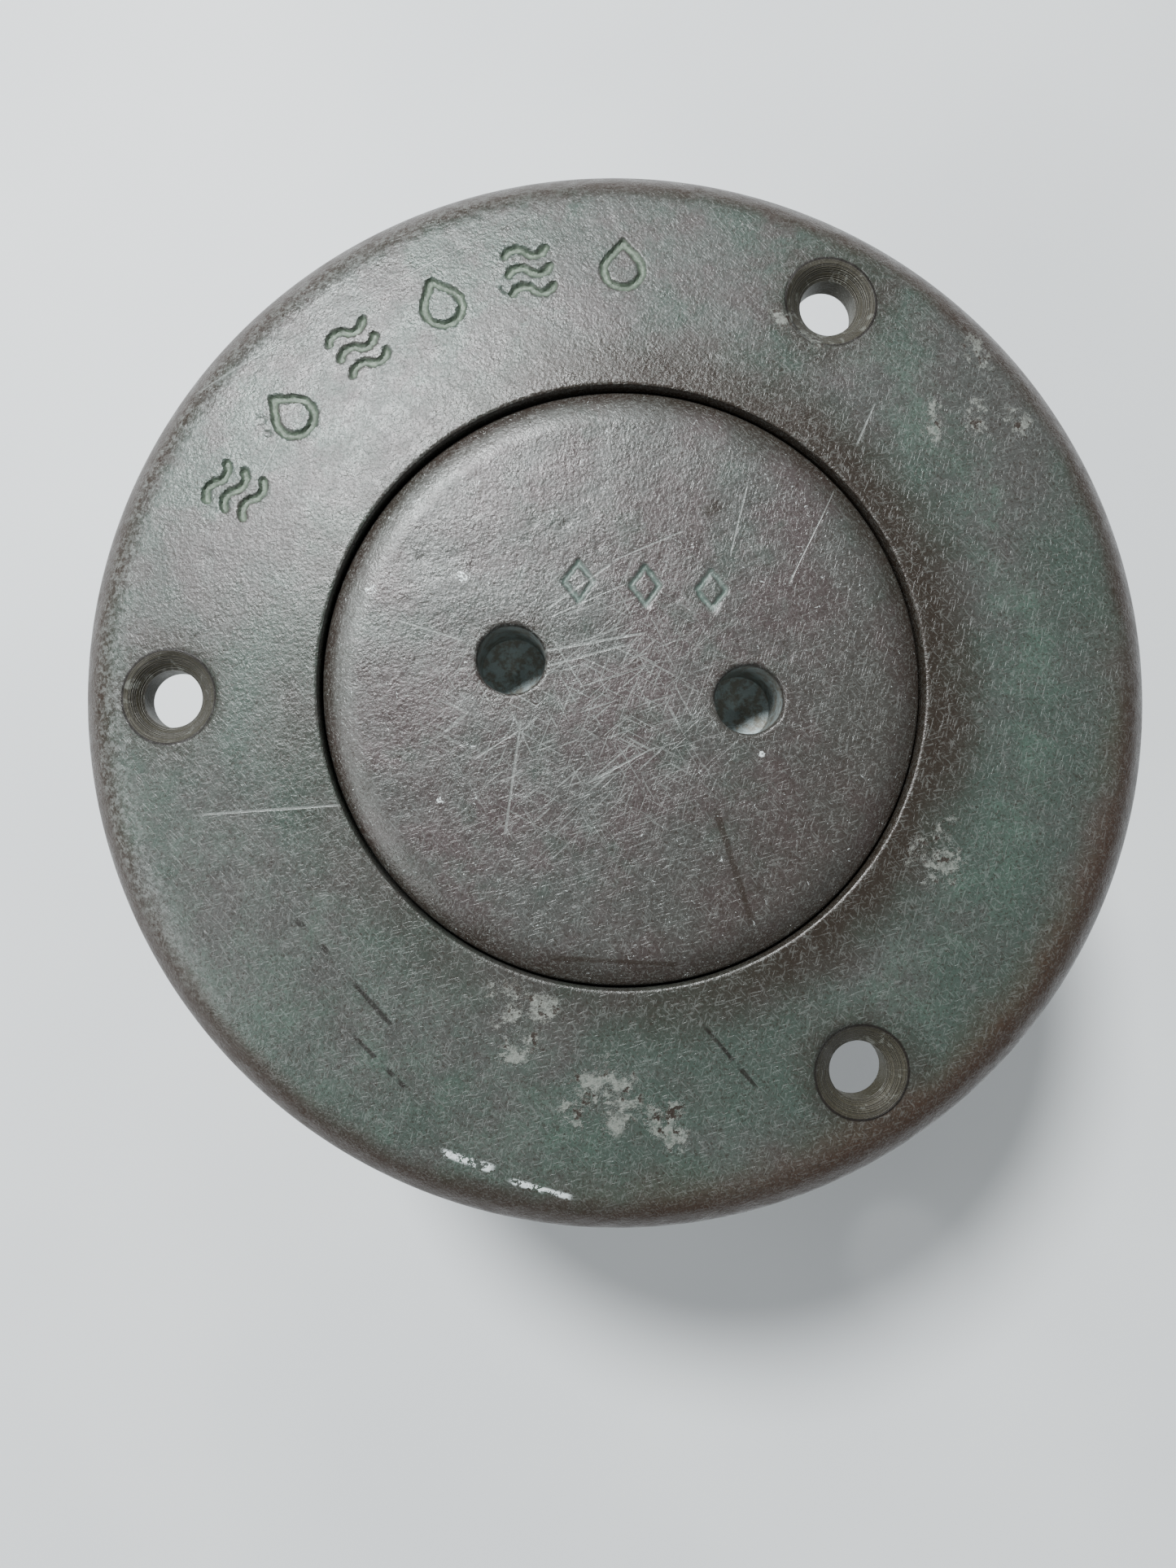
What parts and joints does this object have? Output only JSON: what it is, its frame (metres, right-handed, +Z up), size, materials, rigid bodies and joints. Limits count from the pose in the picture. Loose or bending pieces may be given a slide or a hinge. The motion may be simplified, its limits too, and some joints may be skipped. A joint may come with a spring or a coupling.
{
  "type": "deck fill cap",
  "caption": "Round domed deck flange with a threaded neck and hose tail, and a flush screw cap with spanner holes, held by a chain inside the neck.",
  "frame": {"origin": "centre of the flange's underside, on the plane of the deck", "axes": "+Z up out of the deck, along the neck's axis; the bonding lug is on -Y"},
  "size_m": [0.1142, 0.1142, 0.083],
  "materials": {
    "flange_bronze": "weathered bronze casting, grey-violet and verdigris patina",
    "cap_bronze": "weathered bronze casting, worn and scratched",
    "chain_bronze": "dull drawn bronze",
    "seal": "matt black rubber",
    "fastener": "dull stainless"
  },
  "bodies": {
    "deck": {"deck_flange": "flange_bronze", "bond_screw": "fastener", "bond_washer": "fastener"},
    "ring": {"sealing_ring": "seal"},
    "cap": {"cap": "cap_bronze", "swivel_screw": "chain_bronze"},
    "swivel": {"swivel_clevis": "chain_bronze", "clevis_pin": "chain_bronze"},
    "link_1": {"chain_link_1": "chain_bronze"},
    "link_2": {"chain_link_2": "chain_bronze"},
    "link_3": {"chain_link_3": "chain_bronze"},
    "link_4": {"chain_link_4": "chain_bronze"},
    "toggle": {"toggle_bar": "chain_bronze"}
  },
  "joints": [
    {"name": "cap_lift", "type": "slide", "parent": "deck", "child": "ring", "axis": [0, 0, 1], "range_m": [0, 0.015]},
    {"name": "cap_spin", "type": "hinge", "parent": "ring", "child": "cap", "pos_m": [0, 0, 0], "axis": [0, 0, 1], "range_deg": [0, 1800]},
    {"name": "swivel_spin", "type": "hinge", "parent": "cap", "child": "swivel", "pos_m": [0, 0, -0.005], "axis": [0, 0, 1], "continuous": true},
    {"name": "link_1_swing", "type": "hinge", "parent": "swivel", "child": "link_1", "pos_m": [0, 0, -0.0126], "axis": [1, 0, 0], "range_deg": [-4, 4]},
    {"name": "link_2_swing", "type": "hinge", "parent": "link_1", "child": "link_2", "pos_m": [0, 0, -0.01925], "axis": [0, 1, 0], "range_deg": [-4, 4]},
    {"name": "link_3_swing", "type": "hinge", "parent": "link_2", "child": "link_3", "pos_m": [0, 0, -0.0261], "axis": [1, 0, 0], "range_deg": [-4, 4]},
    {"name": "link_4_swing", "type": "hinge", "parent": "link_3", "child": "link_4", "pos_m": [0, 0, -0.03295], "axis": [0, 1, 0], "range_deg": [-4, 4]},
    {"name": "toggle_swing", "type": "hinge", "parent": "link_4", "child": "toggle", "pos_m": [0, 0, -0.0398], "axis": [1, 0, 0], "range_deg": [-5, 5]}
  ],
  "couplings": [
    {"joint": "cap_lift", "follows": "cap_spin", "m_per_rad": 0.00047746}
  ]
}
